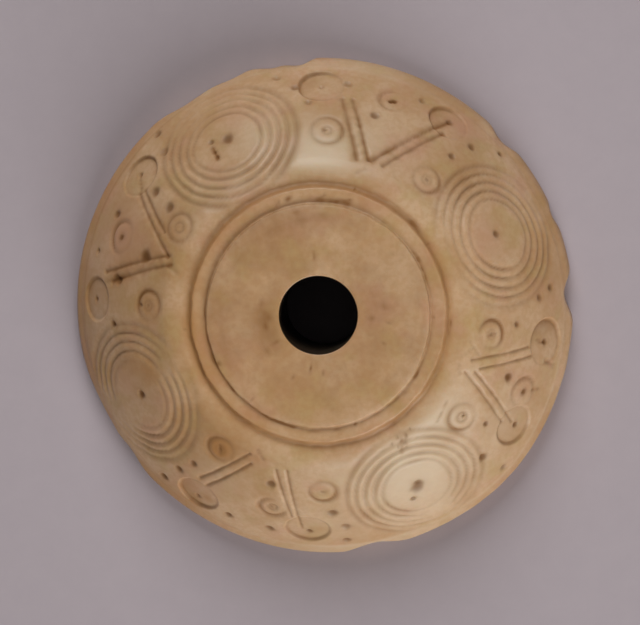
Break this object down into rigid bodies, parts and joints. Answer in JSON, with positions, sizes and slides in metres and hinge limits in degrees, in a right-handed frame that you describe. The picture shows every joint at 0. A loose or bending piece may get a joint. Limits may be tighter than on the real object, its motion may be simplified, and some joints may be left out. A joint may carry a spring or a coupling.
{
  "type": "spindle whorl",
  "caption": "Domed disc of worn bone or ivory with a stepped collar round its spindle hole, and carved rings, dots and lines on the dome.",
  "frame": {"origin": "middle of the flat underside, on the axis of the spindle hole", "axes": "+Z along the spindle hole, from the flat underside to the collar; +X and +Y across the disc, as right and up in the picture"},
  "size_m": [0.0379, 0.038, 0.0108],
  "materials": {
    "worn_bone": "satin"
  },
  "bodies": {
    "root": {"spindle_whorl": "worn_bone"}
  },
  "joints": []
}
